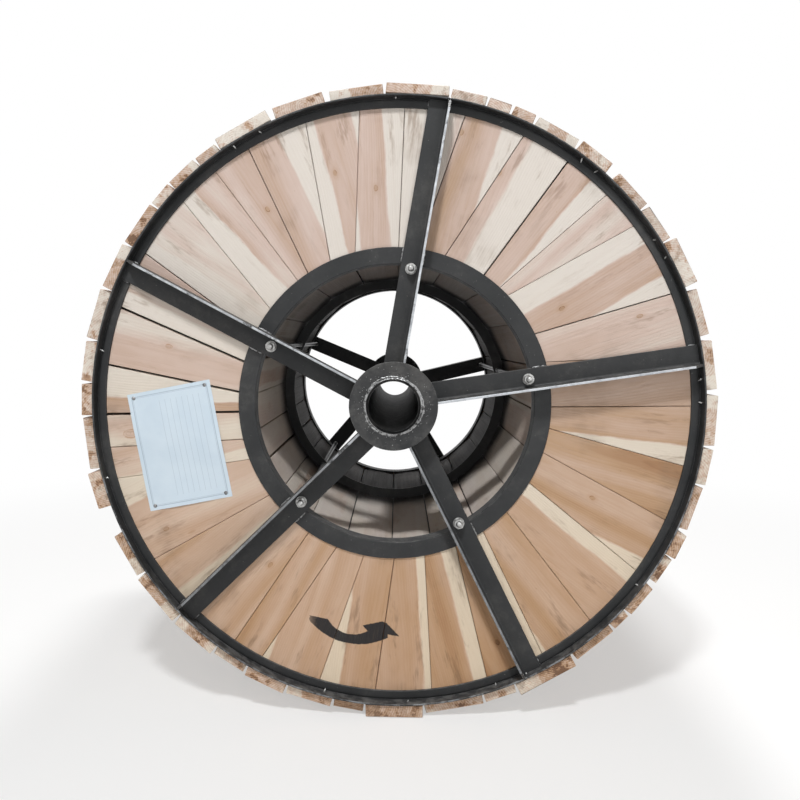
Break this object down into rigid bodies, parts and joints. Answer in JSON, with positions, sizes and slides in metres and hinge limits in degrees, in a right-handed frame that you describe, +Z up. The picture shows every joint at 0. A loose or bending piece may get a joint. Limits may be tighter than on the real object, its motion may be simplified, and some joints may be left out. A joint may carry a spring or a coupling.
{
  "type": "cable drum",
  "caption": "Full steel and timber cable drum on its rims: boarded flanges in steel channel, angle-iron spokes, a through pipe hub, a stave barrel and timber lagging under steel straps.",
  "frame": {"origin": "middle of the hub pipe's bore", "axes": "+Y along the drum's axis towards the back flange, +Z up, front flange at -Y"},
  "size_m": [1.356, 0.992, 1.3536],
  "materials": {
    "painted_steel": "semi-matt near-black paint, worn bare along the spokes' edges",
    "zinc_steel": "zinc-plated fasteners",
    "flange_timber": "planed softwood, cream to pinkish brown",
    "stave_timber": "rough sawn softwood, greyed",
    "lagging_timber": "rough sawn softwood, tan, cream and brown",
    "strap_steel": "blued steel packing strap",
    "cable_jacket": "matt black polyethylene jacket",
    "paper": "plain pale paper with a thin border"
  },
  "bodies": {
    "root": {"rim_front": "painted_steel", "rim_back": "painted_steel", "inner_ring_front": "painted_steel", "inner_ring_back": "painted_steel", "spoke_front_1": "painted_steel", "spoke_front_2": "painted_steel", "spoke_front_3": "painted_steel", "spoke_front_4": "painted_steel", "spoke_front_5": "painted_steel", "spoke_back_1": "painted_steel", "spoke_back_2": "painted_steel", "spoke_back_3": "painted_steel", "spoke_back_4": "painted_steel", "spoke_back_5": "painted_steel", "hub_disc_front": "painted_steel", "hub_disc_back": "painted_steel", "hub_pipe": "painted_steel", "barrel_hoop": "painted_steel", "tie_rod_1": "zinc_steel", "tie_rod_2": "zinc_steel", "tie_rod_3": "zinc_steel", "tie_rod_4": "zinc_steel", "tie_rod_5": "zinc_steel", "tie_rod_nuts": "zinc_steel", "tie_rod_washers": "zinc_steel", "flange_boards_front": "flange_timber", "flange_boards_back": "flange_timber", "barrel_staves": "stave_timber", "lagging_boards": "lagging_timber", "strap_front": "strap_steel", "strap_back": "strap_steel", "strap_seals": "strap_steel", "cable_winding": "cable_jacket", "certificate_sheet": "paper"}
  },
  "joints": []
}
